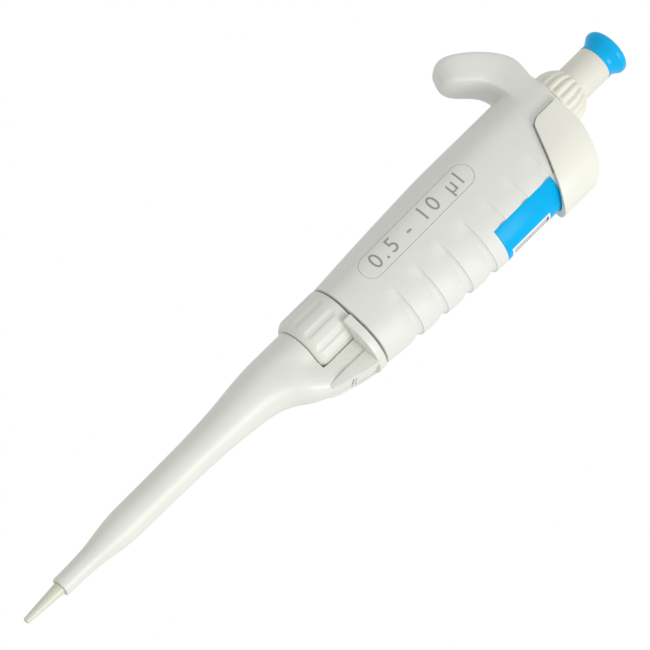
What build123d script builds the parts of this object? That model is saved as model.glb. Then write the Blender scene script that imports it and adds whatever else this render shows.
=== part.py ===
from build123d import *
import os
from math import acos, cos, pi, radians, sin, tan, tau

# Single-channel variable-volume micropipette, 0.5 to 10 microlitres.
# +Z runs up the plunger axis from the end of the tip cone (z = 0) to the push button (z = 250).
# +X is the front, with the volume display and the ejector button. The finger hook is at -X.

# ---------------------------------------------------------------- driving sizes, mm
OVERALL = 250.0
PRESS = 9.8  # full plunger travel: measuring stroke, then blow-out
BLOWOUT = 2.3
RUN = 0.1  # radial running clearance
GAP = 0.3  # clearance between parts that pass each other

# grip: half width is in Y, back and front are the reach in -X and +X
GRIP_FOOT = 129.2
GRIP_TOP = 220.8
WALL = 1.8
GRIP_STATIONS = [
    # z, back, half width, front
    (GRIP_FOOT, 9.9, 10.9, 20.0),
    (143.0, 10.8, 11.1, 21.3),
    (160.0, 11.7, 11.3, 22.6),
    (176.0, 12.4, 11.3, 23.8),
]
NOSE_START = 7.0  # where the egg-shaped front of the section starts
HOOK_HALF = 7.2
HOOK_ROUND = 3.2
DECK = 212.5  # top of the grip under the ejector button, which falls away towards the front
DECK_FALL = ((11.0, DECK), (26.0, 207.4))
HOLLOW_TOP = 211.0  # the cavity ends here behind the knob
BEARING_R = 8.2
BEARING_SEAT = 219.6

# ejector
RODS = (10.2, 6.6)
ROD_R = 1.1
CAP_FRONT = 26.2
CAP_REAR = 1.6
CAP_SIDE = 12.7

# plunger and volume drive
STEM_R = 5.9
KNOB_R = 9.0
KNOB_FOOT = 222.0
KNOB_TOP = 231.4
HUB_R = 7.6
BUTTON_FOOT = 241.8
PUSH_ROD_R = 1.5
SPRING_SEAT = 133.0  # foot of the return and blow-out springs
COLLAR_FOOT = 148.3
SCREW_R = 3.3
SLEEVE_R = 3.0
NUT_TRAVEL = 7.125
NUT_FOOT = COLLAR_FOOT + 3.0 + NUT_TRAVEL + RUN

# counter
COUNTER_X = 14.0
DRIVE_TEETH = 36
PINION_TEETH = 24
MODULE = 2 * COUNTER_X / (DRIVE_TEETH + PINION_TEETH)
BACKLASH = 0.04
GEAR_FOOT = 173.5
GEAR_TALL = 3.0
DRUM_R = 6.0
DRUM_TALL = 5.4
DRUM_PITCH = 5.6
DRUM_FOOT = 179.0
DRUM_NAMES = ["drum_tenths", "drum_units", "drum_tens"]
PLATE_FOOT = 177.4
PLATE_TOP = 197.0
PLATE = 1.2
SCREW_X = -7.4
SCREW_Y = 3.2
SHAFT_R = 1.0

# window in the front of the grip
WINDOW_X = 16.4
WINDOW_Z = (177.2, 201.7)
LENS_Z = (179.2, 195.6)
LENS_HALF = 3.4

# lower end
RING_R = 10.1
RING_FOOT = 113.2
NECK_R = 7.6
NECK_FOOT = 117.6
SLEEVE_TOP = 113.0
SLEEVE_END = 13.5
FLANGE_FOOT = 125.6
FLANGE_TOP = 128.4
PISTON_R = 0.65
LEVER_PIVOT = (17.4, 123.5)
PIN_R = 0.6
PIN_LONG = 9.6

UP = (Align.CENTER, Align.CENTER, Align.MIN)


# ---------------------------------------------------------------- small helpers
def rod(radius, z0, z1, x=0, y=0):
    return Pos(x, y, z0) * Cylinder(radius, z1 - z0, align=UP)


def tube(outer, inner, z0, z1, x=0, y=0):
    return rod(outer, z0, z1, x, y) - rod(inner, z0 - 1, z1 + 1, x, y)


def block(x0, x1, half_y, z0, z1):
    return Pos((x0 + x1) / 2, 0, z0) * Box(x1 - x0, 2 * half_y, z1 - z0, align=UP)


def turned(*points):
    """A solid of revolution about the plunger axis from (radius, z) points."""
    return revolve(make_face(Plane.XZ * Polyline(*points, close=True)), Axis.Z)


def side_face(*curves):
    """A face in the XZ plane inside a closed run of curves."""
    return make_face([Plane.XZ * curve for curve in curves])


def slab(half_y, *points):
    """A plate of the (x, z) outline, half_y to each side of the middle plane."""
    return extrude(make_face(Plane.XZ * Polyline(*points, close=True)), half_y, both=True)


def coil(mean_r, wire_r, z0, z1, turns, x=0, y=0):
    """A round-wire compression spring that fits between z0 and z1."""
    tall = z1 - z0 - 2 * wire_r
    path = Helix(tall / turns, tall, mean_r, center=(x, y, z0 + wire_r))
    wire = Plane(origin=path @ 0, z_dir=path % 0) * Circle(wire_r)
    return sweep(wire, path=path, is_frenet=True)


def gear(teeth, bore, turn=0.0):
    """A spur gear with straight-sided approximations of 20 degree involute flanks."""
    pitch_r = MODULE * teeth / 2
    base_r = pitch_r * cos(radians(20))
    root_r = pitch_r - 1.25 * MODULE
    tip_r = pitch_r + 0.95 * MODULE

    def involute(r):
        a = acos(min(1.0, base_r / max(r, base_r)))
        return tan(a) - a

    half = pi / 2 / teeth - BACKLASH / pitch_r
    points = []
    for i in range(teeth):
        mid = tau * i / teeth + turn
        flank = [root_r, base_r, pitch_r, tip_r]
        swing = [half + involute(pitch_r) - involute(r) for r in flank]
        points += [(r * cos(mid - s), r * sin(mid - s)) for r, s in zip(flank, swing)]
        points += [(r * cos(mid + s), r * sin(mid + s)) for r, s in reversed(list(zip(flank, swing)))]
    blank = extrude(make_face(Polyline(*points, close=True)), GEAR_TALL)
    return Pos(0, 0, GEAR_FOOT) * blank - rod(bore, GEAR_FOOT - 1, GEAR_FOOT + GEAR_TALL + 1)


# ---------------------------------------------------------------- grip
def egg(back, half, front, inset=0.0):
    """The grip's plan section: round back, flat sides and egg-shaped front."""
    back, half, front = back - inset, half - inset, front - inset
    rear = EllipticalCenterArc((0, 0), back, half, 90, arc_size=180)
    nose = EllipticalCenterArc((NOSE_START, 0), front - NOSE_START, half, -90, arc_size=180)
    sides = [Line((0, s * half), (NOSE_START, s * half)) for s in (1, -1)]
    return make_face([rear, nose] + sides)


def grip_solid(inset, z0, z1):
    """The grip's outer form, or its cavity when inset by the wall, between two heights."""
    lower = loft([Pos(0, 0, z) * egg(b, h, f, inset) for z, b, h, f in GRIP_STATIONS])
    top, *section = GRIP_STATIONS[-1]
    upper = Pos(0, 0, top) * extrude(egg(*section, inset), GRIP_TOP - top)
    return (lower + upper) & block(-60, 60, 60, z0, z1)


def hook():
    """The finger hook: a curled plate with rounded edges, rooted in the back of the grip."""
    top, foot = (-4, 223.2), (-4, 211.3)
    curl = Spline(
        top, (-14, 223.6), (-24.2, 220.3), (-31.2, 212.4), (-32.4, 206.0), (-28.1, 202.4),
        (-23.6, 204.3), (-18.6, 208.4), (-12.4, 211.3), foot, tangents=[(-1, 0), (1, 0)],
    )
    plate = extrude(side_face(curl, Line(foot, top)), HOOK_HALF, both=True)
    rims = [e for e in plate.edges() if abs(abs(e.center().Y) - HOOK_HALF) < 0.01 and e.length > 20]
    return fillet(rims, HOOK_ROUND)


def handle_shell():
    shell = grip_solid(0, GRIP_FOOT, GRIP_TOP) + hook()
    shell -= grip_solid(WALL, GRIP_FOOT + 2, HOLLOW_TOP)
    cap_rear = CAP_REAR - 0.2
    shell -= grip_solid(WALL, HOLLOW_TOP - 1, GRIP_TOP) & block(cap_rear, 40, 20, 200, 230)
    shell -= slab(20, (cap_rear, 230), (cap_rear, DECK), *DECK_FALL, (26, 230))
    shell += rod(9.2, 205.0, BEARING_SEAT)
    for side in (1, -1):
        shell -= rod(2.0, GRIP_FOOT + 2, 152, RODS[0], side * RODS[1])
        shell -= rod(ROD_R + RUN, GRIP_FOOT - 1, 135, RODS[0], side * RODS[1])
        shell += rod(1.6, PLATE_TOP + PLATE, 206, SCREW_X, side * SCREW_Y)
        shell -= rod(0.8, PLATE_TOP, 203, SCREW_X, side * SCREW_Y)
    shell -= rod(BEARING_R, 204, 230)
    shell -= rod(BEARING_R + 0.6, BEARING_SEAT, 230)
    shell -= rod(KNOB_R + 0.6, GRIP_TOP, 230)
    shell -= rod(NECK_R, GRIP_FOOT - 1, 135)
    shell -= block(WINDOW_X, 40, 20, WINDOW_Z[0], 230)
    return shell


def front_wall(z0, z1):
    """A stretch of the grip's front wall, forward of the window's side line."""
    wall = grip_solid(0, z0, z1) - grip_solid(WALL, z0 - 1, z1 + 1)
    return wall & block(WINDOW_X + 0.05, 40, 20, z0, z1)


def window_frame():
    frame = front_wall(WINDOW_Z[0] + 0.1, WINDOW_Z[1])
    return frame - block(20, 40, LENS_HALF, *LENS_Z)


def window_lens():
    wall = front_wall(LENS_Z[0] + 0.05, LENS_Z[1] - 0.05)
    return wall & block(20.1, 40, LENS_HALF - 0.05, *LENS_Z)


def front_panel():
    panel = front_wall(WINDOW_Z[1] + 0.1, DECK)
    return panel - slab(20, *DECK_FALL, (26, 230), (11, 230))


# ---------------------------------------------------------------- fixed frame inside the grip
def inner_frame():
    body = turned(
        (3.0, NECK_FOOT), (NECK_R, NECK_FOOT), (NECK_R, 131.2), (8.1, 131.2), (8.1, SPRING_SEAT),
        (7.0, SPRING_SEAT), (7.0, 172), (3.4, 172), (3.4, 170.5), (5.6, 170.5), (5.6, SPRING_SEAT),
        (1.8, SPRING_SEAT), (1.8, 124), (3.0, 124),
    )
    keyway = Pos(0, 0, 150.6) * Box(3.0, 20, 14.6, align=UP)
    return body - keyway


def counter_bracket():
    bracket = block(5.0, 18.4, 5.2, PLATE_FOOT, PLATE_FOOT + PLATE)
    bracket += block(5.0, 6.2, 5.2, PLATE_FOOT, PLATE_TOP + PLATE)
    bracket += block(-8.8, 18.4, 5.2, PLATE_TOP, PLATE_TOP + PLATE)
    bracket -= rod(SLEEVE_R + GAP, PLATE_TOP - 1, PLATE_TOP + 3)
    bracket -= rod(2.2 + RUN, PLATE_FOOT - 1, PLATE_FOOT + 2, COUNTER_X)
    bracket -= rod(SHAFT_R, PLATE_TOP - 1, PLATE_TOP + 3, COUNTER_X)
    for side in (1, -1):
        bracket -= rod(0.8, PLATE_TOP - 1, PLATE_TOP + 3, SCREW_X, side * SCREW_Y)
    return bracket


def bracket_screws():
    screws = []
    for side in (1, -1):
        head = rod(1.4, PLATE_TOP - 1.1, PLATE_TOP, SCREW_X, side * SCREW_Y)
        slot = Pos(SCREW_X, side * SCREW_Y, PLATE_TOP - 1.2) * Box(2.0, 0.4, 0.6, align=UP)
        screws.append(head + rod(0.8, PLATE_TOP, 203, SCREW_X, side * SCREW_Y) - slot)
    return Compound(children=screws)


def top_bearing():
    bush = tube(BEARING_R, HUB_R + RUN, 209.6, BEARING_SEAT + 0.8)
    return bush + tube(BEARING_R + 0.6, HUB_R + RUN, BEARING_SEAT, BEARING_SEAT + 0.8)


# ---------------------------------------------------------------- plunger
def push_button():
    over = Spline((5.8, BUTTON_FOOT), (6.0, 243.3), (7.3, 245.8), tangents=[(0, 1), (0.5, 1)])
    rim = ThreePointArc((7.3, 245.8), (7.45, 246.9), (6.7, 247.9))
    edge, rise, mid = 6.7, 2.1, 3.4  # the crown is a cap of a sphere
    crown_r = (edge**2 + rise**2) / 2 / rise
    crown_mid = (mid, OVERALL - crown_r + (crown_r**2 - mid**2) ** 0.5)
    crown = ThreePointArc((edge, OVERALL - rise), crown_mid, (0, OVERALL))
    sides = Polyline((0, OVERALL), (0, 244), (4.2, 244), (4.2, BUTTON_FOOT), (5.8, BUTTON_FOOT))
    return revolve(side_face(over, rim, crown, sides), Axis.Z)


def button_stem():
    return turned(
        (2.6, KNOB_FOOT), (STEM_R, KNOB_FOOT), (STEM_R, BUTTON_FOOT), (4.2, BUTTON_FOOT), (4.2, 244),
        (0.0, 244), (0.0, 242), (PUSH_ROD_R, 242), (PUSH_ROD_R, 228), (2.6, 228),
    )


def push_rod():
    return rod(PUSH_ROD_R, 113.0, 242.0) - tube(3, 1.1, 150.0, 150.6)


def stop_collar():
    collar = tube(5.2, PUSH_ROD_R, COLLAR_FOOT, COLLAR_FOOT + 3)
    return collar - tube(6, 4.6, COLLAR_FOOT + 1.2, COLLAR_FOOT + 1.8)


def piston_head():
    return turned((0, 110), (3.2, 110), (3.2, 112.4), (2.8, 113), (0, 113)) - rod(PISTON_R, 109, 111.5)


def piston():
    return turned((0, 30), (PISTON_R - 0.1, 30), (PISTON_R, 30.3), (PISTON_R, 111.5), (0, 111.5))


# ---------------------------------------------------------------- volume drive
def volume_knob():
    crown = ThreePointArc((KNOB_R, 225.8), (8.1, 229.4), (6.6, KNOB_TOP))
    sides = Polyline(
        (6.6, KNOB_TOP), (STEM_R + RUN, KNOB_TOP), (STEM_R + RUN, 208), (HUB_R, 208),
        (HUB_R, KNOB_FOOT), (8.7, KNOB_FOOT), (KNOB_R, KNOB_FOOT + 0.4), (KNOB_R, 225.8),
    )
    knob = revolve(side_face(crown, sides), Axis.Z)
    for i in range(20):
        around = Rot(0, 0, 18 * i + 9)
        knob -= around * Pos(9.45, 0, KNOB_FOOT - 1) * Cylinder(0.85, 6.5, align=UP)
        knob -= around * Pos(9.3, 0, 226.6) * Rot(0, -28, 0) * Cylinder(0.75, 8, align=UP)
    return knob


def volume_screw():
    return turned(
        (1.7, 152.2), (SCREW_R - 0.4, 152.2), (SCREW_R, 152.6), (SCREW_R, 172), (SLEEVE_R, 172),
        (SLEEVE_R, 205), (HUB_R, 205), (HUB_R, 208), (1.7, 208),
    )


def stop_nut():
    nut = tube(5.5, SCREW_R + 0.05, NUT_FOOT, NUT_FOOT + 5)
    for side in (1, -1):
        nut += Pos(0, side * 5.9, NUT_FOOT) * Box(2.8, 1.8, 5, align=UP)
    return nut - tube(6, 5.2, NUT_FOOT + 2.2, NUT_FOOT + 2.8) + tube(5.3, 5.0, NUT_FOOT + 2, NUT_FOOT + 3)


# ---------------------------------------------------------------- counter
def counter_pinion():
    wheel = gear(PINION_TEETH, SHAFT_R + 0.05, pi / PINION_TEETH)
    hub = tube(2.2, SHAFT_R + 0.05, GEAR_FOOT + GEAR_TALL, DRUM_FOOT)
    return Pos(COUNTER_X, 0, 0) * (wheel + hub)


def drum(index):
    """A number drum: a rim on a web, with a carry notch in its upper edge."""
    foot = DRUM_FOOT + DRUM_PITCH * index
    rim = tube(DRUM_R, DRUM_R - 1.0, foot, foot + DRUM_TALL)
    web = rod(DRUM_R - 0.5, foot + 1.8, foot + 3.0) + rod(2.2, foot, foot + DRUM_TALL)
    notch = Pos(-(DRUM_R - 0.5), 0, foot + DRUM_TALL - 0.8) * Box(3, 1.2, 2, align=UP)
    return Pos(COUNTER_X, 0, 0) * (rim + web - rod(SHAFT_R + 0.05, foot - 1, foot + 9) - notch)


# ---------------------------------------------------------------- ejector
def cap_profile(roof=0.0):
    """Side outline of the ejector button. With a roof thickness it is the outline of the hollow."""
    drop = 9 * roof
    return slab(
        20, (CAP_REAR, 220.2 - roof), (10, 220.2 - roof), (23.5, 216.2 - roof),
        (CAP_FRONT - 0.7, 214.6 - roof), (CAP_FRONT + 1, 212 - roof), (CAP_FRONT + 1, 199.6 - drop),
        (CAP_FRONT - 1, 199.6 - drop), (3.4, 209.0 - drop), (CAP_REAR, 211.6 - drop),
    )


def ejector_button():
    back, half, front = GRIP_STATIONS[-1][1:]
    column = Pos(0, 0, 180) * extrude(egg(back + 1.4, CAP_SIDE, CAP_FRONT), 50)
    hollow = Pos(0, 0, 180) * extrude(egg(back + 0.2, half + 0.2, front + GAP), 50)
    button = (column & cap_profile()) - (hollow & cap_profile(1.2))
    for side in (1, -1):
        button += rod(2.2, 210.0, 219.5, RODS[0], side * RODS[1])
        button -= rod(ROD_R, 209.0, 215.0, RODS[0], side * RODS[1])
    return button - rod(9.6, 190, 240)


def ejector_rod(side):
    return rod(ROD_R, 126.6, 215.0, RODS[0], side * RODS[1])


def rod_clips():
    clips = [tube(1.9, ROD_R, 147.4, 148.6, RODS[0], side * RODS[1]) for side in (1, -1)]
    return Compound(children=clips)


def pivot(radius, long):
    """A cylinder along the release lever's hinge line."""
    return Pos(LEVER_PIVOT[0], 0, LEVER_PIVOT[1]) * Rot(90, 0, 0) * Cylinder(radius, long)


def ejector_carrier():
    back, half, front = GRIP_STATIONS[0][1:]
    plate = Pos(0, 0, FLANGE_FOOT) * extrude(egg(back, half + 0.5, front + 0.4), FLANGE_TOP - FLANGE_FOOT)
    plate = plate & block(4.2, 40, 20, 120, 130)
    carrier = plate + slab(
        6.3, (13.7, 110.6), (15.4, 110.6), (16.7, 113.4), (17.5, 117.2), (18.4, 120.7),
        (19.0, 123.7), (19.5, FLANGE_FOOT), (13.7, FLANGE_FOOT),
    )
    carrier -= slab(3.35, (13, 105), (20, 105), (20, 117.5), (13, 117.5))
    carrier -= rod(RING_R + GAP, 100, 130)
    carrier -= slab(3.0, (15.0, 118.0), (21, 118.0), (21, FLANGE_FOOT), (15.0, FLANGE_FOOT))
    carrier -= pivot(PIN_R, PIN_LONG)
    for side in (1, -1):
        carrier -= rod(ROD_R, 126.6, 130, RODS[0], side * RODS[1])
    return carrier


def lock_lever():
    lever = slab(2.8, (16.6, 118.3), (17.6, 118.3), (18.95, 123.7), (19.2, 125.2), (16.6, 125.2))
    return lever - pivot(PIN_R + 0.05, PIN_LONG)


def sleeve_outside():
    """Outer outline of the ejector sleeve, a slim tube with two swells."""
    return Spline(
        (3.15, SLEEVE_END + 0.4), (3.1, 18), (3.5, 26.6), (4.5, 33.5), (5.08, 39), (5.25, 52), (5.6, 70),
        (6.2, 81), (7.35, 92), (7.78, 99), (7.8, SLEEVE_TOP - 0.5),
        tangents=[(0, 1), (0, 1)],
    )


def ejector_sleeve():
    outer = sleeve_outside()
    rest = Polyline(
        outer @ 1, (7.3, SLEEVE_TOP), (6.6, SLEEVE_TOP), (6.5, 96), (4.4, 70), (4.0, 39), (2.25, 22),
        (2.25, SLEEVE_END), (2.75, SLEEVE_END), outer @ 0,
    )
    sleeve = revolve(side_face(outer, rest), Axis.Z)
    web = slab(
        3.2, (5.5, 93), (8.3, 97.5), (13.6, 105.9), (16.6, 112.3), (17.3, 117.1), (13.6, 117.1),
        (13.6, 125.3), (9.0, 125.3), (9.0, 112.4), (5.5, 112.4),
    )
    cheeks = slab(6.2, (9.6, 111.2), (12.4, 111.2), (13.6, 113.0), (13.6, 125.3), (9.6, 125.3))
    arm = web + cheeks - rod(RING_R + GAP, SLEEVE_TOP - 0.2, 130)
    return sleeve + (arm - rod(6.9, 90, 130))


# ---------------------------------------------------------------- lower end
def coupling_ring():
    ring = turned(
        (6.3, RING_FOOT), (8.3, RING_FOOT), (RING_R, 115.4), (RING_R, 128.5), (RING_R - 0.4, 128.9),
        (NECK_R, 128.9), (NECK_R, 115), (6.3, 115),
    )
    flute = Plane.YZ * SlotOverall(11.4, 2.6, rotation=90)
    for i in range(12):
        ring -= Rot(0, 0, 30 * i + 10) * Pos(RING_R - 0.55, 0, 122.3) * extrude(flute, 3)
    return ring


def tip_cone():
    return turned(
        (0.4, 0), (0.85, 0), (1.0, 0.15), (2.05, 14), (2.05, 26), (3.6, 38), (3.8, 70), (5.3, 92),
        (5.6, 113), (5.6, 115), (7.3, 115), (7.3, 117.5), (5.6, 117.5), (5.6, 116.7), (4.4, 116.7),
        (4.4, 117.5), (3.8, 117.5), (3.8, 88), (2.2, 88), (2.2, 84), (0.9, 84), (0.9, 12), (0.4, 12),
    )


def o_ring():
    return Pos(0, 0, 117.12) * Torus(5.0, 0.4)


PARTS = {
    "handle_shell": handle_shell(),
    "window_frame": window_frame(),
    "window_lens": window_lens(),
    "front_panel": front_panel(),
    "inner_frame": inner_frame(),
    "counter_bracket": counter_bracket(),
    "bracket_screws": bracket_screws(),
    "counter_shaft": rod(SHAFT_R, 172.6, PLATE_TOP + PLATE, COUNTER_X),
    "top_bearing": top_bearing(),
    "rod_bush": tube(3.0, PUSH_ROD_R + 0.05, 118.0, 124.0),
    "coupling_ring": coupling_ring(),
    "tip_cone": tip_cone(),
    "o_ring": o_ring(),
    "piston_seal": tube(2.2, PISTON_R + 0.03, 84.0, 88.0),
    "seal_retainer": tube(3.8, 0.9, 88.0, 90.0),
    "push_button": push_button(),
    "button_stem": button_stem(),
    "push_rod": push_rod(),
    "stop_collar": stop_collar(),
    "piston_head": piston_head(),
    "piston": piston(),
    "return_spring": coil(4.7, 0.25, SPRING_SEAT, COLLAR_FOOT, 8),
    "blowout_spring": coil(2.9, 0.35, SPRING_SEAT, 139.3, 4),
    "blowout_washer": tube(4.2, 1.8, 139.3, COLLAR_FOOT - PRESS + BLOWOUT),
    "piston_spring": coil(2.6, 0.3, 90.0, 110.0, 8),
    "volume_knob": volume_knob(),
    "volume_screw": volume_screw(),
    "drive_gear": gear(DRIVE_TEETH, SLEEVE_R),
    "stop_nut": stop_nut(),
    "counter_pinion": counter_pinion(),
    "ejector_button": ejector_button(),
    "ejector_rod_left": ejector_rod(1),
    "ejector_rod_right": ejector_rod(-1),
    "rod_clips": rod_clips(),
    "ejector_spring_left": coil(1.6, 0.175, 131.2, 147.4, 12, RODS[0], RODS[1]),
    "ejector_spring_right": coil(1.6, 0.175, 131.2, 147.4, 12, RODS[0], -RODS[1]),
    "ejector_carrier": ejector_carrier(),
    "ejector_sleeve": ejector_sleeve(),
    "lock_lever": lock_lever(),
    "lock_pin": pivot(PIN_R, PIN_LONG),
}
for index, name in enumerate(DRUM_NAMES):
    PARTS[name] = drum(index)

os.makedirs("parts", exist_ok=True)
for name, shape in PARTS.items():
    export_step(shape, f"parts/{name}.step")
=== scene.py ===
import math

import bpy
import numpy as np
from mathutils import Matrix, Vector


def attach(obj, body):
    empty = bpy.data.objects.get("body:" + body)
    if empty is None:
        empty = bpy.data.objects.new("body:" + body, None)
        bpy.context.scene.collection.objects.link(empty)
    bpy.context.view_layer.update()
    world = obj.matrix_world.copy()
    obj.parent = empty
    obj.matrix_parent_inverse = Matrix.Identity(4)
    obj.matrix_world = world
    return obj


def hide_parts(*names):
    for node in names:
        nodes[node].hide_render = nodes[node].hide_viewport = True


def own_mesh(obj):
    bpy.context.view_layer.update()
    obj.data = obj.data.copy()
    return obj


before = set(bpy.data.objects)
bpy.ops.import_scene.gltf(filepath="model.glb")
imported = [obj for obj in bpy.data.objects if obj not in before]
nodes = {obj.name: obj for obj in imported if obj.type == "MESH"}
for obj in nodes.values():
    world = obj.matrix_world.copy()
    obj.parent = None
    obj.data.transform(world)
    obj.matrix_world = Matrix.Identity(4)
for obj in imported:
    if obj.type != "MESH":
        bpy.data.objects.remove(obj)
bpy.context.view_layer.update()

# ------------------------------------------------------------------ camera
# A long lens looks at the side of the pipette from a little below and a little in front.
# It is rolled so that the plunger axis runs up to the right.
AIM = Vector((-0.0006, 0, 0.1245))
TURN, DISTANCE, DROP = math.radians(10.5), 1.32, -0.299
ROLL = math.radians(45.55)
camera_data = bpy.data.cameras.new("camera")
camera_data.lens = 265.3
camera_data.clip_end = 30
camera = bpy.data.objects.new("camera", camera_data)
bpy.context.scene.collection.objects.link(camera)
camera.location = (DISTANCE * math.sin(TURN), -DISTANCE * math.cos(TURN), DROP)
look = (AIM - camera.location).to_track_quat("-Z", "Y").to_matrix().to_4x4()
camera.matrix_world = Matrix.Translation(camera.location) @ look @ Matrix.Rotation(ROLL, 4, "Z")
bpy.context.scene.camera = camera
bpy.context.scene.view_settings.view_transform = "Standard"

# ------------------------------------------------------------------ studio
# A white surround with a softer white light of its own, and one large softbox in front of the
# grip on the near side. The pale floor lies well below the hanging pipette.
SURROUND_LIGHT = 0.73
world = bpy.data.worlds.new("studio")
bpy.context.scene.world = world
world.use_nodes = True
sky = world.node_tree
background = sky.nodes["Background"]
background.inputs["Color"].default_value = (1, 1, 1, 1)
seen = sky.nodes.new("ShaderNodeLightPath")
level = sky.nodes.new("ShaderNodeMapRange")
level.inputs["To Min"].default_value = SURROUND_LIGHT
level.inputs["To Max"].default_value = 1.0
sky.links.new(seen.outputs["Is Camera Ray"], level.inputs["Value"])
sky.links.new(level.outputs["Result"], background.inputs["Strength"])


def softbox(name, place, size, power):
    light = bpy.data.lights.new(name, "AREA")
    light.size = size
    light.energy = power
    lamp = bpy.data.objects.new(name, light)
    bpy.context.scene.collection.objects.link(lamp)
    lamp.location = place
    lamp.rotation_euler = (AIM - Vector(place)).to_track_quat("-Z", "Y").to_euler()


softbox("key", (1.3, -0.75, 0.25), size=0.7, power=11)
bpy.ops.object.select_all(action="DESELECT")
bpy.ops.mesh.primitive_plane_add(size=6, location=(0, 0, -0.7))
floor = bpy.context.object
floor.name = "floor"
floor.data.transform(Matrix.Translation(floor.location))
floor.location = (0, 0, 0)
paper = bpy.data.materials.new("pale_paper")
paper.use_nodes = True
paper.node_tree.nodes["Principled BSDF"].inputs["Base Color"].default_value = (0.85, 0.85, 0.84, 1)
floor.data.materials.append(paper)

# ------------------------------------------------------------------ grip
# One hollow moulding of satin polymer with a curled finger hook and seven steps for the fingers.
# It is moulded in one shot, and its front is left open for the window and the ejector button.
MM = 0.001
GRIP_FOOT, GRIP_TOP = 129.2, 220.8
GRIP_STATIONS = ((GRIP_FOOT, 9.9, 10.9, 20.0), (143.0, 10.8, 11.1, 21.3), (160.0, 11.7, 11.3, 22.6),
                 (176.0, 12.4, 11.3, 23.8), (GRIP_TOP, 12.4, 11.3, 23.8))
NOSE_START = 7.0
WALL = 1.8
RIM_RISE, RIM_FOOT = 0.15, 216  # the rim rises towards the hook
STEP_FIRST, STEP_PITCH, STEP_COUNT, STEP_LIP = 143.3, 9.8, 7, 0.2
STEP_RETURN = ((-8.0, 0), (-5.5, 0.06), (-3.4, 0.36), (-2.2, 0.82), (-1.2, 1.0), (-STEP_LIP, 0.5), (0.0, 0))
HIGH_STEPS, HIGH_STEPS_LOSE = (174, 180), 0.45  # the steps beside the window are fainter
HOOK_SECTIONS = (
    # x and z of the middle, tilt in degrees, half thickness, half width
    (-15.0, 218.5, 8, 6.1, 8.2), (-19.0, 216.9, 22, 5.6, 7.9), (-23.0, 213.8, 38, 5.2, 7.8),
    (-26.8, 209.3, 54, 5.0, 7.7), (-29.0, 206.4, 62, 4.4, 7.0), (-30.2, 204.4, 66, 3.0, 4.8),
)
CAP_REAR = 1.6
CAP_LOWER = ((28, 199.5), (25.4, 199.6), (21, 201.4), (12, 205.3), (4.2, 208.8), (2.5, 209.9),
             (CAP_REAR, 211.8))
CAP_SEAM, CAP_RECESS = 0.4, 0.7
WINDOW_X, WINDOW_FOOT = 16.4, 177.2
BEARING_R, NECK_R, KNOB_R = 8.2, 7.6, 9.0
ROOM = 0.6  # round the bearing's rim and the knob
RODS = (10.2, 6.6)  # x and half spacing of the ejector rods


def deselect():
    if bpy.context.object and bpy.context.object.mode != "OBJECT":
        bpy.ops.object.mode_set(mode="OBJECT")
    bpy.ops.object.select_all(action="DESELECT")


def focus(piece):
    deselect()
    piece.select_set(True)
    bpy.context.view_layer.objects.active = piece


def cylinder(name, radius, foot, top, sides=48, x=0.0, y=0.0):
    """A closed cylinder in millimetres, its place in its mesh."""
    deselect()
    bpy.ops.mesh.primitive_cylinder_add(vertices=sides, radius=radius, depth=top - foot)
    piece = bpy.context.object
    piece.name = name
    piece.data.transform(Matrix.Translation((x, y, (foot + top) / 2)))
    return piece


def block(name, x0, x1, half_y, z0, z1):
    deselect()
    bpy.ops.mesh.primitive_cube_add(size=1)
    piece = bpy.context.object
    piece.name = name
    place = Matrix.Translation(((x0 + x1) / 2, 0, (z0 + z1) / 2))
    piece.data.transform(place @ Matrix.Diagonal((x1 - x0, 2 * half_y, z1 - z0, 1)))
    return piece


def points_of(piece):
    mesh = piece.data
    flat = np.empty(len(mesh.vertices) * 3, np.float32)
    mesh.vertices.foreach_get("co", flat)
    return flat.reshape(-1, 3).astype(float)


def place_points(piece, points):
    piece.data.vertices.foreach_set("co", points.astype(np.float32).ravel())
    piece.data.update()


def cut_rings(piece, heights):
    """Adds a ring of edges around the piece at each height."""
    focus(piece)
    bpy.ops.object.mode_set(mode="EDIT")
    for height in heights:
        bpy.ops.mesh.select_all(action="SELECT")
        bpy.ops.mesh.bisect(plane_co=(0, 0, height), plane_no=(0, 0, 1))
    bpy.ops.object.mode_set(mode="OBJECT")


def egg_points(points, stations, inset=0.0, swell=1.0):
    """Moves the points of a unit cylinder onto the grip's egg-shaped section at their height."""
    nose_from = 0.26  # cosine of the turn at which the nose is all drawn forward
    heights = [station[0] for station in stations]
    back, half, front = (np.interp(points[:, 2], heights, [station[i] for station in stations]) - inset
                         for i in (1, 2, 3))
    turn = np.arctan2(points[:, 1], points[:, 0])
    reach = np.hypot(points[:, 0], points[:, 1]) * swell
    across, along = np.sin(turn), np.cos(turn)
    lead = np.clip(along / nose_from * 0.5 + 0.5, 0, 1) * NOSE_START
    points[:, 0] = np.where(along > 0, (front - NOSE_START) * along, back * along) * reach + lead * reach
    points[:, 1] = half * across * reach
    return points


def apply_modifier(piece, kind, **settings):
    focus(piece)
    modifier = piece.modifiers.new(kind.lower(), kind)
    for key, value in settings.items():
        setattr(modifier, key, value)
    bpy.ops.object.modifier_apply(modifier=modifier.name)


def cut(piece, *cutters):
    for cutter in cutters:
        apply_modifier(piece, "BOOLEAN", object=cutter, operation="DIFFERENCE", solver="EXACT")
        bpy.data.objects.remove(cutter)


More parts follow.
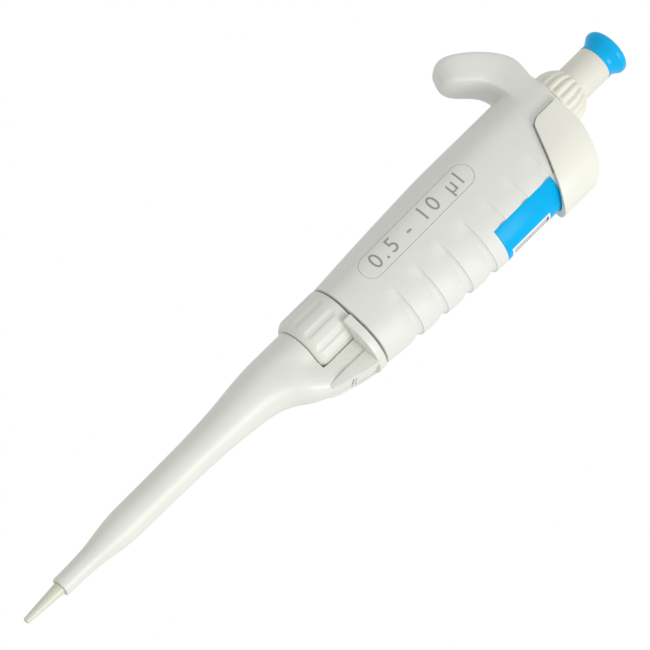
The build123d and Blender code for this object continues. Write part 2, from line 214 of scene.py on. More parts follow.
def plate(name, outline, half_y):
    """A block whose side outline is this run of (x, z) points."""
    deselect()
    bpy.ops.mesh.primitive_circle_add(vertices=len(outline), radius=1, fill_type="NGON")
    piece = bpy.context.object
    piece.name = name
    place_points(piece, np.array([(x, -half_y, z) for x, z in outline], float))
    focus(piece)
    bpy.ops.object.mode_set(mode="EDIT")
    bpy.ops.mesh.select_all(action="SELECT")
    bpy.ops.mesh.extrude_region_move(TRANSFORM_OT_translate={"value": (0, 2 * half_y, 0)})
    bpy.ops.mesh.select_all(action="SELECT")
    bpy.ops.mesh.normals_make_consistent(inside=False)
    bpy.ops.object.mode_set(mode="OBJECT")
    return piece


def egg_column(name, stations, z0, z1, inset=0.0, sides=160):
    column = cylinder(name, 1, z0, z1, sides)
    place_points(column, egg_points(points_of(column), stations, inset=inset))
    return column


def eased(points, steps=4):
    """A smooth run of points through the given ones."""
    rows = [points[0], *points, points[-1]]
    run = []
    for corners in zip(rows, rows[1:], rows[2:], rows[3:]):
        for t in (i / steps for i in range(steps)):
            run.append(tuple(
                b + t * (c - a + t * (2 * a - 5 * b + 4 * c - d + t * (3 * b - a - 3 * c + d))) / 2
                for a, b, c, d in zip(*corners)))
    return run + [points[-1]]


def smoothstep(low, high, value):
    t = np.clip((value - low) / (high - low), 0, 1)
    return t * t * (3 - 2 * t)


# The cage: a ring every few millimetres, each drawn out to the egg section.
RING_SHRINK = (4 + 2 * math.cos(math.tau / 24)) / 6
grip = cylinder("grip", 1, GRIP_FOOT, GRIP_TOP, 24)
ring_heights = [129.9, 132.5] + [136 + 4.6 * i for i in range(16)] + [208.6, 213.2, 216.8, 219.9]
cut_rings(grip, ring_heights)
points = egg_points(points_of(grip), GRIP_STATIONS, swell=1 / RING_SHRINK)
points[:, 2] += np.where(points[:, 2] > RIM_FOOT, RIM_RISE * np.maximum(-points[:, 0], 0), 0)
place_points(grip, points)

# The two ends are inset so that their rims stay crisp.
focus(grip)
bpy.ops.object.mode_set(mode="EDIT")
bpy.ops.mesh.select_mode(type="FACE")
bpy.ops.mesh.select_all(action="DESELECT")
bpy.ops.object.mode_set(mode="OBJECT")
for face in grip.data.polygons:
    face.select = abs(face.normal.z) > 0.9
bpy.ops.object.mode_set(mode="EDIT")
bpy.ops.mesh.inset(thickness=1.0, use_individual=True)
bpy.ops.mesh.inset(thickness=2.0, use_individual=True)

# The hook: faces high on the back of the grip are drawn out together and curled down.
bpy.ops.mesh.select_all(action="DESELECT")
bpy.ops.object.mode_set(mode="OBJECT")
for face in grip.data.polygons:
    middle = face.center
    face.select = middle.x < -7.5 and 213 < middle.z < 221.4 and abs(face.normal.z) < 0.5
root = np.array([grip.data.vertices[v].co for f in grip.data.polygons if f.select for v in f.vertices])
root_half_y, root_z = np.abs(root[:, 1]).max(), (root[:, 2].min(), root[:, 2].max())
section_uv = []  # where each corner of the root stands across and up, from -1 to 1
for x, z, tilt, half_tall, half_wide in HOOK_SECTIONS:
    focus(grip)
    bpy.ops.object.mode_set(mode="EDIT")
    bpy.ops.mesh.extrude_region_move(TRANSFORM_OT_translate={"value": (-0.5, 0, 0)})
    bpy.ops.object.mode_set(mode="OBJECT")
    chosen = sorted({v for f in grip.data.polygons if f.select for v in f.vertices})
    if not section_uv:
        for v in chosen:
            co = grip.data.vertices[v].co
            section_uv.append((co.y / root_half_y, (co.z - sum(root_z) / 2) / (root_z[1] - root_z[0]) * 2))
    lean = math.radians(tilt)
    for v, (u, w) in zip(chosen, section_uv):
        rise = w * half_tall
        grip.data.vertices[v].co = (x - rise * math.sin(lean), u * half_wide, z + rise * math.cos(lean))
apply_modifier(grip, "SUBSURF", levels=3, render_levels=3)

# The finger steps: a crease under each proud edge, then a slow return outwards.
steps = [STEP_FIRST + STEP_PITCH * i for i in range(STEP_COUNT)]
cut_rings(grip, steps + [step - STEP_LIP for step in steps])
points = points_of(grip)
normals = np.empty(len(points) * 3, np.float32)
grip.data.vertices.foreach_get("normal", normals)
outward = normals.reshape(-1, 3).astype(float)
outward[:, 2] = 0
outward /= np.maximum(np.linalg.norm(outward, axis=1), 1e-6)[:, None]
depth = np.zeros(len(points))
for step in steps:
    depth += np.interp(points[:, 2] - step, *zip(*STEP_RETURN))
depth *= 1 - HIGH_STEPS_LOSE * smoothstep(*HIGH_STEPS, points[:, 2])
fade = smoothstep(6.3, 12.0, points[:, 0]) * (np.hypot(outward[:, 0], outward[:, 1]) > 0.5)
place_points(grip, points - outward * (depth * fade)[:, None])

# Openings: hollow, deck under the ejector button, window, bearing, knob, neck, the recess round
# the ejector button's lower edge, and the ejector rods.
hollow = cylinder("hollow", 1, GRIP_FOOT + 2, 211.0, 48)
cut_rings(hollow, (143.0, 160.0, 176.0))
place_points(hollow, egg_points(points_of(hollow), GRIP_STATIONS, inset=WALL))
cut(hollow, cylinder("boss", 9.2, 205.0, 215.0))
deck = plate("deck", ((CAP_REAR - 0.2, 212.5), (40, 202.6), (40, 232), (CAP_REAR - 0.2, 232)), 20)
cut(grip, hollow, deck, block("window", WINDOW_X, 40, 20, WINDOW_FOOT, 232),
    cylinder("bore", BEARING_R, 204, 232, 64), cylinder("seat", BEARING_R + ROOM, 219.6, 232, 64),
    cylinder("knob_room", KNOB_R + ROOM, GRIP_TOP, 232, 64),
    cylinder("neck", NECK_R, GRIP_FOOT - 1, 135, 64))
recess = plate("recess", [(28, 232), (CAP_REAR - CAP_SEAM, 232), (CAP_REAR - CAP_SEAM, 212)]
               + [(x - 0.5 * CAP_SEAM, z - CAP_SEAM) for x, z in reversed(eased(CAP_LOWER, 3))], 20)
cut(recess, egg_column("kept", GRIP_STATIONS, 190, 240, inset=CAP_RECESS))
cut(grip, recess)
for side in (1, -1):
    cut(grip, cylinder("rod_hole", 1.2, GRIP_FOOT - 1, 135, 24, RODS[0], side * RODS[1]))


def group_of(name, sockets_in, sockets_out):
    """An empty shader group with (name, kind, default) inputs and (name, kind) outputs."""
    tree = bpy.data.node_groups.new(name, "ShaderNodeTree")
    for label, kind, default in sockets_in:
        tree.interface.new_socket(label, in_out="INPUT", socket_type=kind).default_value = default
    for label, kind in sockets_out:
        tree.interface.new_socket(label, in_out="OUTPUT", socket_type=kind)
    return tree, tree.nodes.new("NodeGroupInput"), tree.nodes.new("NodeGroupOutput")


def noise(tree, place, scale, detail):
    """A noise texture on the place socket. The scale is a number or a socket."""
    texture = tree.nodes.new("ShaderNodeTexNoise")
    texture.inputs["Detail"].default_value = detail
    tree.links.new(place, texture.inputs["Vector"])
    if isinstance(scale, bpy.types.NodeSocket):
        tree.links.new(scale, texture.inputs["Scale"])
    else:
        texture.inputs["Scale"].default_value = scale
    return texture.outputs["Fac"]


def mapped(tree, value, low, high, to_low, to_high):
    node = tree.nodes.new("ShaderNodeMapRange")
    for label, level in (("From Min", low), ("From Max", high), ("To Min", to_low), ("To Max", to_high)):
        if isinstance(level, bpy.types.NodeSocket):
            tree.links.new(level, node.inputs[label])
        else:
            node.inputs[label].default_value = level
    tree.links.new(value, node.inputs["Value"])
    return node.outputs["Result"]


def maths(tree, operation, one, other):
    node = tree.nodes.new("ShaderNodeMath")
    node.operation = operation
    for socket, value in zip(node.inputs, (one, other)):
        if isinstance(value, bpy.types.NodeSocket):
            tree.links.new(value, socket)
        else:
            socket.default_value = value
    return node.outputs["Value"]


def tinted(tree, color, factor):
    """The colour times a grey factor."""
    node = tree.nodes.new("ShaderNodeVectorMath")
    node.operation = "SCALE"
    tree.links.new(color, node.inputs[0])
    tree.links.new(factor, node.inputs["Scale"])
    return node.outputs["Vector"]


# Moulded polymer: slow drifts of tone, fine spark-eroded grain, painted highlight on the edges and painted
# shade in the hollows, with the edges glossier and the hollows duller.
moulded, given, made = group_of(
    "moulded_skin",
    (("Color", "NodeSocketColor", (0.8, 0.8, 0.8, 1)), ("Roughness", "NodeSocketFloat", 0.4),
     ("Grain", "NodeSocketFloat", 3000.0), ("Depth", "NodeSocketFloat", 0.02),
     ("Edges", "NodeSocketFloat", 0.0)),
    (("Color", "NodeSocketColor"), ("Roughness", "NodeSocketFloat"), ("Normal", "NodeSocketVector")),
)
place = moulded.nodes.new("ShaderNodeTexCoord").outputs["Object"]
drift = mapped(moulded, noise(moulded, place, 55, 2), 0.3, 0.7, 0.975, 1.02)
grain = noise(moulded, place, given.outputs["Grain"], 3)
pointed = moulded.nodes.new("ShaderNodeNewGeometry").outputs["Pointiness"]
# Pointiness brightens the colour on convex edges as a painted highlight and darkens it in hollows as painted
# shade. The same term also makes the edges less rough.
edge_shade_and_gloss = maths(moulded, "MULTIPLY", mapped(moulded, pointed, 0.44, 0.56, -1, 1), given.outputs["Edges"])
speckled = maths(moulded, "MULTIPLY", drift, mapped(moulded, grain, 0.3, 0.7, 0.985, 1.01))
tone = maths(moulded, "ADD", speckled, edge_shade_and_gloss)
moulded.links.new(tinted(moulded, given.outputs["Color"], tone), made.inputs["Color"])
dull = maths(moulded, "ADD", given.outputs["Roughness"], mapped(moulded, grain, 0.3, 0.7, -0.05, 0.06))
moulded.links.new(maths(moulded, "SUBTRACT", dull, edge_shade_and_gloss), made.inputs["Roughness"])
relief = moulded.nodes.new("ShaderNodeBump")
relief.inputs["Distance"].default_value = 0.0001
moulded.links.new(given.outputs["Depth"], relief.inputs["Strength"])
moulded.links.new(grain, relief.inputs["Height"])
moulded.links.new(relief.outputs["Normal"], made.inputs["Normal"])


def finish(name, group, values, **sockets):
    """A material whose colour, roughness and normal come from a shader group with these values."""
    material = bpy.data.materials.new(name)
    material.use_nodes = True
    tree = material.node_tree
    shader = tree.nodes["Principled BSDF"]
    surface = tree.nodes.new("ShaderNodeGroup")
    surface.node_tree = group
    for label, value in values.items():
        surface.inputs[label].default_value = value
    for source, target in (("Color", "Base Color"), ("Roughness", "Roughness"), ("Normal", "Normal")):
        tree.links.new(surface.outputs[source], shader.inputs[target])
    for label, value in sockets.items():
        shader.inputs[label.replace("_", " ")].default_value = value
    return material


# The edge value sets the strength of the painted highlight on edges, the painted shade in hollows and the
# extra gloss on the edges.
def polymer(name, color, roughness, grain=3000, depth=0.25, painted_edge_light_and_gloss=0.0, **sockets):
    values = {"Color": (*color, 1), "Roughness": roughness, "Grain": grain, "Depth": depth, "Edges": painted_edge_light_and_gloss}
    return finish(name, moulded, values, **sockets)


def hand_over(piece, body, slot, material, *stands_for, angle=38):
    """Turns a finished piece to metres and gives it its finish, its body and the nodes it stands for."""
    piece.data.transform(Matrix.Scale(MM, 4))
    piece.data.materials.clear()
    piece.data.materials.append(material)
    focus(piece)
    bpy.ops.object.shade_smooth_by_angle(angle=math.radians(angle))
    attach(piece, body)
    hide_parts(*stands_for)


def dress(material, *names):
    """Gives plain nodes of the frame their finish."""
    for name in names:
        nodes[name].data.materials.clear()
        nodes[name].data.materials.append(material)


GRIP_COLOR = (0.74, 0.745, 0.70)
grip_satin = polymer("grip_satin", GRIP_COLOR, 0.46, grain=2600, depth=0.5, painted_edge_light_and_gloss=0.04)
dress(polymer("panel_satin", GRIP_COLOR, 0.46, grain=2600, depth=0.5), "front_panel")

# ------------------------------------------------------------------ label on the grip
# A fine moulded groove frames a label field on the near side of the grip. The volume range is
# pad-printed in it in warm grey and reads from the foot of the grip upwards.
LABEL_MIDDLE, LABEL_LONG, LABEL_WIDE, LABEL_LEAN = (-1.6, 163.2), 47.0, 8.1, 0.7
LINE_WIDE, LINE_DEEP = 0.3, 0.22
PRINT_SIZE, PRINT_SPACING, PRINT_THICK = 7.0, 1.27, 0.03
ASIDE = 20  # how far out to the near side a flat piece stands before it is laid on the grip


def drape_on_grip(piece, thickness, offset):
    """Lays a flat piece that stands in front of the near side onto the grip, with a thickness."""
    apply_modifier(piece, "SHRINKWRAP", target=grip, wrap_method="PROJECT", use_project_y=True,
                   use_negative_direction=False, use_positive_direction=True)
    apply_modifier(piece, "SOLIDIFY", thickness=thickness, offset=offset)


def lettering(text, size, spacing=1.0, resolution=4, extrude=0.0):
    """A line of text about its middle, made into a mesh."""
    deselect()
    bpy.ops.object.text_add()
    face = bpy.context.object.data
    face.body = text
    face.size = size
    face.space_character = spacing
    face.align_x = "CENTER"
    face.align_y = "CENTER"
    face.resolution_u = resolution
    face.extrude = extrude
    bpy.ops.object.convert(target="MESH")
    return bpy.context.object


lean = Matrix.Rotation(math.radians(-LABEL_LEAN), 4, "Y")
lean = Matrix.Translation((LABEL_MIDDLE[0], 0, LABEL_MIDDLE[1])) @ lean
deselect()
bpy.ops.mesh.primitive_circle_add(vertices=48, radius=LABEL_WIDE / 2, fill_type="NGON",
                                  rotation=(math.pi / 2, 0, 0))
line = bpy.context.object
line.name = "label_line"
bpy.ops.object.transform_apply(location=False, rotation=True, scale=False)
points = points_of(line)
points[:, 2] += np.sign(np.round(points[:, 2], 4)) * (LABEL_LONG - LABEL_WIDE) / 2
place_points(line, points)
cut_rings(line, [-18 + 2 * i for i in range(19)])
focus(line)
bpy.ops.object.mode_set(mode="EDIT")
bpy.ops.mesh.select_all(action="SELECT")
bpy.ops.mesh.dissolve_faces()
bpy.ops.mesh.inset(thickness=LINE_WIDE)
bpy.ops.mesh.delete(type="FACE")
bpy.ops.object.mode_set(mode="OBJECT")
line.data.transform(lean)
line.data.transform(Matrix.Translation((0, -ASIDE, 0)))
drape_on_grip(line, 2 * LINE_DEEP, 0)
cut(grip, line)

label = lettering("0.5 - 10 \u00b5l", PRINT_SIZE, PRINT_SPACING)
label.name = "range_print"
up_the_grip = Matrix(((0, -1, 0, 0), (0, 0, -1, -ASIDE), (1, 0, 0, 0), (0, 0, 0, 1)))
label.data.transform(lean @ up_the_grip)
focus(label)
bpy.ops.object.mode_set(mode="EDIT")
for i in range(14):
    bpy.ops.mesh.select_all(action="SELECT")
    bpy.ops.mesh.bisect(plane_co=(LABEL_MIDDLE[0] - 3.5 + 0.5 * i, 0, 0), plane_no=(1, 0, 0))
bpy.ops.object.mode_set(mode="OBJECT")
drape_on_grip(label, 2 * PRINT_THICK, 0)
label_ink = polymer("label_ink", (0.33, 0.31, 0.27), 0.5, grain=5000, depth=0.1)
hand_over(label, "root", "grip_plastic", label_ink)
hand_over(grip, "root", "grip_plastic", grip_satin, "handle_shell")

# ------------------------------------------------------------------ display window
# A blue frame snaps into the front of the grip. It holds a clear lens with a white border, moulded
# to the same curve, and the number wheels turn behind it.
FRAME_Z, LENS_Z = (WINDOW_FOOT + 0.1, 201.7), (179.2, 195.6)
LENS_HALF, BORDER, LENS_REAR, LENS_GAP = 3.4, 0.8, 20.1, 0.05


def front_wall(name, z0, z1, sink, thick, x0, sides=128):
    """A stretch of the grip's front wall: sunk below the surface, this thick, forward of x0."""
    wall = egg_column(name, GRIP_STATIONS, z0, z1, sink, sides)
    inside = egg_column("inside", GRIP_STATIONS, z0 - 2, z1 + 2, sink + thick, sides)
    cut(wall, inside, block("rear", -40, x0, 40, z0 - 5, z1 + 5))
    return wall


def keep_middle(piece, half_y):
    """Cuts away what lies further than half_y from the middle plane."""
    for side in (1, -1):
        cutter = block("side", 0, 60, 20, 100, 260)
        cutter.data.transform(Matrix.Translation((0, side * (20 + half_y), 0)))
        cut(piece, cutter)


def soften(piece, width, segments=3, angle=35):
    """Merges the flat faces and rounds the sharp edges."""
    focus(piece)
    bpy.ops.object.mode_set(mode="EDIT")
    bpy.ops.mesh.select_all(action="SELECT")
    bpy.ops.mesh.remove_doubles(threshold=0.002)
    bpy.ops.mesh.dissolve_limited(angle_limit=math.radians(0.5))
    bpy.ops.object.mode_set(mode="OBJECT")
    apply_modifier(piece, "BEVEL", width=width, segments=segments, limit_method="ANGLE",
                   angle_limit=math.radians(angle), miter_outer="MITER_ARC", use_clamp_overlap=True)


window = front_wall("blue_frame", *FRAME_Z, 0, WALL, WINDOW_X + LENS_GAP)
cut(window, block("opening", 20, 40, LENS_HALF, *LENS_Z))
soften(window, 0.22, segments=2)
blue_satin = polymer("blue_satin", (0.0, 0.42, 0.80), 0.3, grain=1500, depth=0.12, painted_edge_light_and_gloss=0.03,
                     Specular_IOR_Level=0.1)
hand_over(window, "root", "blue_plastic", blue_satin, "window_frame")

border = front_wall("lens_border", LENS_Z[0] + LENS_GAP, LENS_Z[1] - LENS_GAP, 0.05, 1.2, LENS_REAR)
cut(border, block("clear_field", 10, 40, LENS_HALF - BORDER, LENS_Z[0] + BORDER, LENS_Z[1] - BORDER))
keep_middle(border, LENS_HALF - LENS_GAP)
border_white = polymer("border_white", (0.86, 0.87, 0.88), 0.35, grain=2500, depth=0.1)
hand_over(border, "root", "drum_plastic", border_white)

lens = front_wall("lens", LENS_Z[0] + BORDER, LENS_Z[1] - BORDER, 0.15, 0.9, LENS_REAR)
keep_middle(lens, LENS_HALF - BORDER)
lens_clear = polymer("lens_clear", (0.94, 0.965, 1.0), 0.08, grain=900, depth=0.02,
                     Transmission_Weight=1.0, IOR=1.49)
hand_over(lens, "root", "lens", lens_clear, "window_lens")

# ------------------------------------------------------------------ number wheels
# Three white wheels turn on one steel shaft behind the lens. Each carries the digits 0 to 9,
# hot-stamped in black round its rim, and a pinion on the lowest one meshes with the drive gear.
COUNTER_X, DRUM_R, DRUM_TALL = 14.0, 6.0, 5.4
WHEELS = (("tenths", 179.0, 0), ("units", 184.6, 0), ("tens", 190.2, 1))  # foot, digit at the front
DIGIT_SIZE, DIGIT_THICK, DIGIT_LIFT = 4.4, 0.03, 0.02
wheel_white = polymer("wheel_white", (0.86, 0.87, 0.88), 0.4, grain=2500, depth=0.12)
digit_black = polymer("digit_black", (0.02, 0.02, 0.022), 0.45, grain=4000, depth=0.1)


dress(wheel_white, "drum_tenths", "drum_units", "drum_tens", "counter_pinion")
for wheel, foot, shown in WHEELS:
    stamped = []
    for digit in range(10):
        glyph = lettering(str(digit), DIGIT_SIZE, resolution=3, extrude=DIGIT_THICK)
        flat = points_of(glyph)
        angle = math.radians(-36 * (digit - shown)) + flat[:, 0] / DRUM_R
        radius = DRUM_R + DIGIT_LIFT + flat[:, 2]
        around = np.stack([COUNTER_X + radius * np.cos(angle), radius * np.sin(angle),
                           foot + DRUM_TALL / 2 + flat[:, 1]], axis=1)
        place_points(glyph, around)
        stamped.append(glyph)
    focus(stamped[0])
    for glyph in stamped:
        glyph.select_set(True)
    bpy.ops.object.join()
    stamped[0].name = f"digits_{wheel}"
    hand_over(stamped[0], f"{wheel}_wheel", "drum_plastic", digit_black)

# ------------------------------------------------------------------ frame inside the grip
# A dark glass-filled frame screws down into the coupling ring and carries the springs. A bracket
# with two screws holds the counter, and the bearing bush and the rod bush are white acetal.
frame_grey = polymer("frame_grey", (0.10, 0.105, 0.115), 0.55, grain=1200, depth=0.5)
acetal_white = polymer("acetal_white", (0.84, 0.84, 0.81), 0.38, grain=2500, depth=0.15)
seal_black = polymer("seal_black", (0.015, 0.015, 0.017), 0.6, grain=2000, depth=0.3)
dress(frame_grey, "inner_frame", "counter_bracket")
dress(acetal_white, "top_bearing", "rod_bush", "stop_nut")
dress(seal_black, "o_ring", "piston_seal")

# ------------------------------------------------------------------ turned metal parts
# Rods, shaft, pin, clips, screws and piston are stainless steel. The volume screw, the drive gear,
# the washer and the seal retainer are brass. They carry fine tool marks, and the piston is polished.
turned_skin, given, made = group_of(
    "turned_skin",
    (("Color", "NodeSocketColor", (0.6, 0.6, 0.6, 1)), ("Roughness", "NodeSocketFloat", 0.3),
     ("Depth", "NodeSocketFloat", 0.1)),
    (("Color", "NodeSocketColor"), ("Roughness", "NodeSocketFloat"), ("Normal", "NodeSocketVector")),
)
squeeze = turned_skin.nodes.new("ShaderNodeMapping")
squeeze.inputs["Scale"].default_value = (0.12, 0.12, 1.0)
turned_skin.links.new(turned_skin.nodes.new("ShaderNodeTexCoord").outputs["Object"], squeeze.inputs["Vector"])
marks = noise(turned_skin, squeeze.outputs["Vector"], 9000, 3)
stain = noise(turned_skin, squeeze.outputs["Vector"], 300, 2)
tone = maths(turned_skin, "MULTIPLY", mapped(turned_skin, marks, 0.3, 0.7, 0.94, 1.04),
             mapped(turned_skin, stain, 0.3, 0.7, 0.93, 1.04))
turned_skin.links.new(tinted(turned_skin, given.outputs["Color"], tone), made.inputs["Color"])
dull = maths(turned_skin, "ADD", given.outputs["Roughness"],
             mapped(turned_skin, marks, 0.3, 0.7, -0.06, 0.08))
turned_skin.links.new(dull, made.inputs["Roughness"])
relief = turned_skin.nodes.new("ShaderNodeBump")
relief.inputs["Distance"].default_value = 0.00005
turned_skin.links.new(given.outputs["Depth"], relief.inputs["Strength"])
turned_skin.links.new(marks, relief.inputs["Height"])
turned_skin.links.new(relief.outputs["Normal"], made.inputs["Normal"])


def metal(name, color, roughness, depth):
    values = {"Color": (*color, 1), "Roughness": roughness, "Depth": depth}
    return finish(name, turned_skin, values, Metallic=1.0)


steel = metal("ground_steel", (0.60, 0.61, 0.63), 0.28, depth=0.25)
polished = metal("polished_steel", (0.72, 0.73, 0.75), 0.12, depth=0.08)
brass = metal("machined_brass", (0.78, 0.58, 0.28), 0.26, depth=0.25)
dress(steel, "push_rod", "stop_collar", "counter_shaft", "bracket_screws", "ejector_rod_left",
      "ejector_rod_right", "rod_clips", "lock_pin")
dress(polished, "piston")
dress(brass, "volume_screw", "drive_gear", "blowout_washer", "seal_retainer")

# ------------------------------------------------------------------ springs
# Five compression springs of drawn wire: the return and blow-out springs under the stop collar,
# the piston spring in the cone, and one under each ejector rod clip.
COIL_STEPS = 28  # in each turn
SPRINGS = (
    # name, mean radius, wire radius, foot, top, turns, x, y, joint, length kept at the limit
    ("return_spring", 4.7, 0.25, 133.0, 148.3, 8, 0, 0, "plunger_press", 0.36),
    ("blowout_spring", 2.9, 0.35, 133.0, 139.3, 4, 0, 0, "blowout_yield", 0.635),
    ("piston_spring", 2.6, 0.3, 90.0, 110.0, 8, 0, 0, "plunger_press", 0.51),
    ("ejector_spring_left", 1.6, 0.175, 131.2, 147.4, 12, *RODS, "ejector_press", 0.63),
    ("ejector_spring_right", 1.6, 0.175, 131.2, 147.4, 12, RODS[0], -RODS[1], "ejector_press", 0.63),
)
spring_wire = metal("spring_wire", (0.52, 0.53, 0.55), 0.32, depth=0.15)
for name, mean_r, wire_r, foot, top, turns, x, y, joint, keep in SPRINGS:
    deselect()
    bpy.ops.mesh.primitive_circle_add(vertices=10, radius=wire_r, rotation=(math.pi / 2, 0, 0))
    wire = bpy.context.object
    wire.name = f"{name}_wire"
    bpy.ops.object.transform_apply(location=False, rotation=True, scale=False)
    wire.data.transform(Matrix.Translation((mean_r, 0, foot + wire_r)))
    apply_modifier(wire, "SCREW", axis="Z", angle=math.tau * turns, screw_offset=top - foot - 2 * wire_r,
                   iterations=1, steps=COIL_STEPS * turns, render_steps=COIL_STEPS * turns,
                   use_merge_vertices=False)
    focus(wire)
    bpy.ops.object.mode_set(mode="EDIT")
    bpy.ops.mesh.select_all(action="SELECT")
    bpy.ops.mesh.fill_holes(sides=12)
    bpy.ops.mesh.normals_make_consistent(inside=False)
    bpy.ops.object.mode_set(mode="OBJECT")
    wire.data.transform(Matrix.Translation((x, y, 0)))
    hand_over(wire, "root", "spring_steel", spring_wire, name, angle=60)
    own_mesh(wire)

# ------------------------------------------------------------------ push button and stem
# The thumb pushes a waisted blue button, pressed onto a stone-coloured stem that passes through
# the knob. The head of the piston below is the same stone-coloured polymer.
STEM_R, STEM_FOOT, BUTTON_FOOT = 5.9, 222.0, 241.8
BUTTON_SIDE = ((5.95, BUTTON_FOOT), (5.85, 242.6), (6.1, 243.7), (6.8, 244.9), (7.35, 245.7), (7.5, 246.4),
               (7.45, 247.1), (7.0, 247.8), (6.2, 248.3), (4.5, 248.8), (0.3, 249.2))


def turned(name, profile, sides=96):
    """A turned piece: a disc drawn upwards through the (radius, height) rings of its profile."""
    deselect()
    radius, height = profile[0]
    bpy.ops.mesh.primitive_circle_add(vertices=sides, radius=radius, fill_type="NGON")
    piece = bpy.context.object
    piece.name = name
    piece.data.transform(Matrix.Translation((0, 0, height)))
    focus(piece)
    bpy.ops.object.mode_set(mode="EDIT")
    bpy.ops.mesh.select_all(action="SELECT")
    for wider, higher in profile[1:]:
        bpy.ops.mesh.extrude_region_move(TRANSFORM_OT_translate={"value": (0, 0, higher - height)})
        bpy.ops.transform.resize(value=(wider / radius, wider / radius, 1), center_override=(0, 0, higher))
        radius, height = wider, higher
    bpy.ops.mesh.select_all(action="SELECT")
    bpy.ops.mesh.normals_make_consistent(inside=False)
    bpy.ops.object.mode_set(mode="OBJECT")
    return piece


button = turned("push_button_cap", eased(BUTTON_SIDE))
blue_gloss = polymer("blue_gloss", (0.0, 0.44, 0.84), 0.22, grain=1200, depth=0.06, painted_edge_light_and_gloss=0.03,
                     Specular_IOR_Level=0.2)
hand_over(button, "plunger", "blue_plastic", blue_gloss, "push_button")
STEM_SIDE = ((5.5, STEM_FOOT), (STEM_R, STEM_FOOT + 0.4), (STEM_R, 232), (STEM_R, 241.4),
             (5.7, BUTTON_FOOT))
stem = turned("stem", STEM_SIDE)
cut(stem, cylinder("stem_bore", 2.6, STEM_FOOT - 1, 228))
stem_stone = polymer("stem_stone", (0.74, 0.735, 0.65), 0.34, grain=2600, depth=0.2, painted_edge_light_and_gloss=0.03)
hand_over(stem, "plunger", "stem_plastic", stem_stone, "button_stem")
dress(stem_stone, "piston_head")

# ------------------------------------------------------------------ volume knob
# The knob is turned to set the volume. It is moulded in ivory polymer with a rounded shoulder and
# narrow valleys between broad ribs, and its hub runs in the bearing.
RIBS, VALLEY_DEEP, VALLEY_HALF = 20, 0.8, 0.4  # the half width is in rib pitches
HUB_R, HUB_FOOT, KNOB_FOOT = 7.6, 208.0, 222.0
KNOB_SIDE = ((8.8, KNOB_FOOT), (KNOB_R, 222.5), (KNOB_R, 225.0), (8.8, 226.6), (8.3, 228.1), (7.5, 229.6),
             (6.6, 230.7))
knob = turned("knob", [(HUB_R, HUB_FOOT), (HUB_R, KNOB_FOOT), *eased(KNOB_SIDE)], 12 * RIBS)
points = points_of(knob)
turn = np.arctan2(points[:, 1], points[:, 0]) * RIBS / math.tau % 1
valley = smoothstep(0, 1, 1 - np.abs(turn - 0.5) / VALLEY_HALF)
reach = np.hypot(points[:, 0], points[:, 1])
deep = VALLEY_DEEP * valley * smoothstep(KNOB_FOOT + 0.1, 223.6, points[:, 2]) * smoothstep(6.2, 7.6, reach)
points[:, :2] *= (1 - deep / reach)[:, None]
place_points(knob, points)
cut(knob, cylinder("knob_bore", STEM_R + 0.1, 200, 240, 96))
knob_ivory = polymer("knob_ivory", (0.80, 0.79, 0.69), 0.34, grain=2600, depth=0.2, painted_edge_light_and_gloss=0.05)
hand_over(knob, "volume_dial", "knob_plastic", knob_ivory, "volume_knob")

# ------------------------------------------------------------------ ejector button
# A hooded ivory button wraps the front of the grip's head and slides down it. It is a thin
# moulding with a sloping lower edge and two bosses that take the ejector rods.
CAP_STATIONS = ((190, 13.8, 12.7, 26.2), (230, 13.8, 12.7, 26.2))
CAP_ROOF = ((CAP_REAR, 220.2), (6, 220.2), (11, 220.0), (16, 218.9), (20, 217.6), (23, 216.3), (25, 214.8),
            (26.2, 213.0), (28, 210.5))
CAP_WALL, SEAM = 1.2, 0.3


def shared(piece, other):
    """Keeps what the piece shares with the other one."""
    apply_modifier(piece, "BOOLEAN", object=other, operation="INTERSECT", solver="EXACT")
    bpy.data.objects.remove(other)


cap = egg_column("ejector_cap", CAP_STATIONS, 195, 225)
shared(cap, plate("side", [*eased(CAP_ROOF, 3), *eased(CAP_LOWER, 3)], 20))
soften(cap, 0.55, segments=4, angle=30)
hollow = egg_column("hollow", GRIP_STATIONS, 190, 225, inset=-SEAM)
ceiling = [(x, z - CAP_WALL) for x, z in eased(CAP_ROOF, 3)]
shared(hollow, plate("room", ceiling + [(28, 190), (CAP_REAR - 1, 190), (CAP_REAR - 1, 219)], 20))
cut(cap, hollow, cylinder("well", 9.6, 190, 225, 96))
for side in (1, -1):
    boss = cylinder("boss", 2.2, 210, 219.2, 32, RODS[0], side * RODS[1])
    cut(boss, cylinder("socket", 0.8, 209, 215, 24, RODS[0], side * RODS[1]))
    hand_over(boss, "ejector", "knob_plastic", knob_ivory)
cap_ivory = polymer("cap_ivory", (0.78, 0.78, 0.70), 0.42, grain=2600, depth=0.35, painted_edge_light_and_gloss=0.04)
hand_over(cap, "ejector", "knob_plastic", cap_ivory, "ejector_button")

# ------------------------------------------------------------------ ejector carrier and latch
# Two rods push a flange and column that stand in front of the coupling ring. The sleeve clips
# into the column and a small lever on a steel pin lets it go. Both are smooth off-white polymer.
FLANGE_Z, COLUMN_HALF, RING_ROOM = (125.6, 128.4), 5.1, 10.4
COLUMN_SIDE = ((13.7, 110.6), (15.1, 110.6), (16.4, 113.4), (17.3, 117.2), (18.4, 120.7), (19.0, 123.7),
               (19.5, 126.4), (13.7, 126.4))
LEG_HEIGHTS, LEG_WIDTHS = (110.6, 113.4, 117.2, 120.7), (0.88, 0.97, 1.03, 1.0)
PIVOT = (17.4, 123.5)
LEVER_SIDE = ((16.6, 118.3), (17.7, 118.3), (18.95, 123.7), (19.2, 125.3), (16.6, 125.3))
LEVER_HALF = 2.85
smooth_white = polymer("smooth_white", (0.735, 0.738, 0.68), 0.38, grain=2600, depth=0.12, painted_edge_light_and_gloss=0.04)

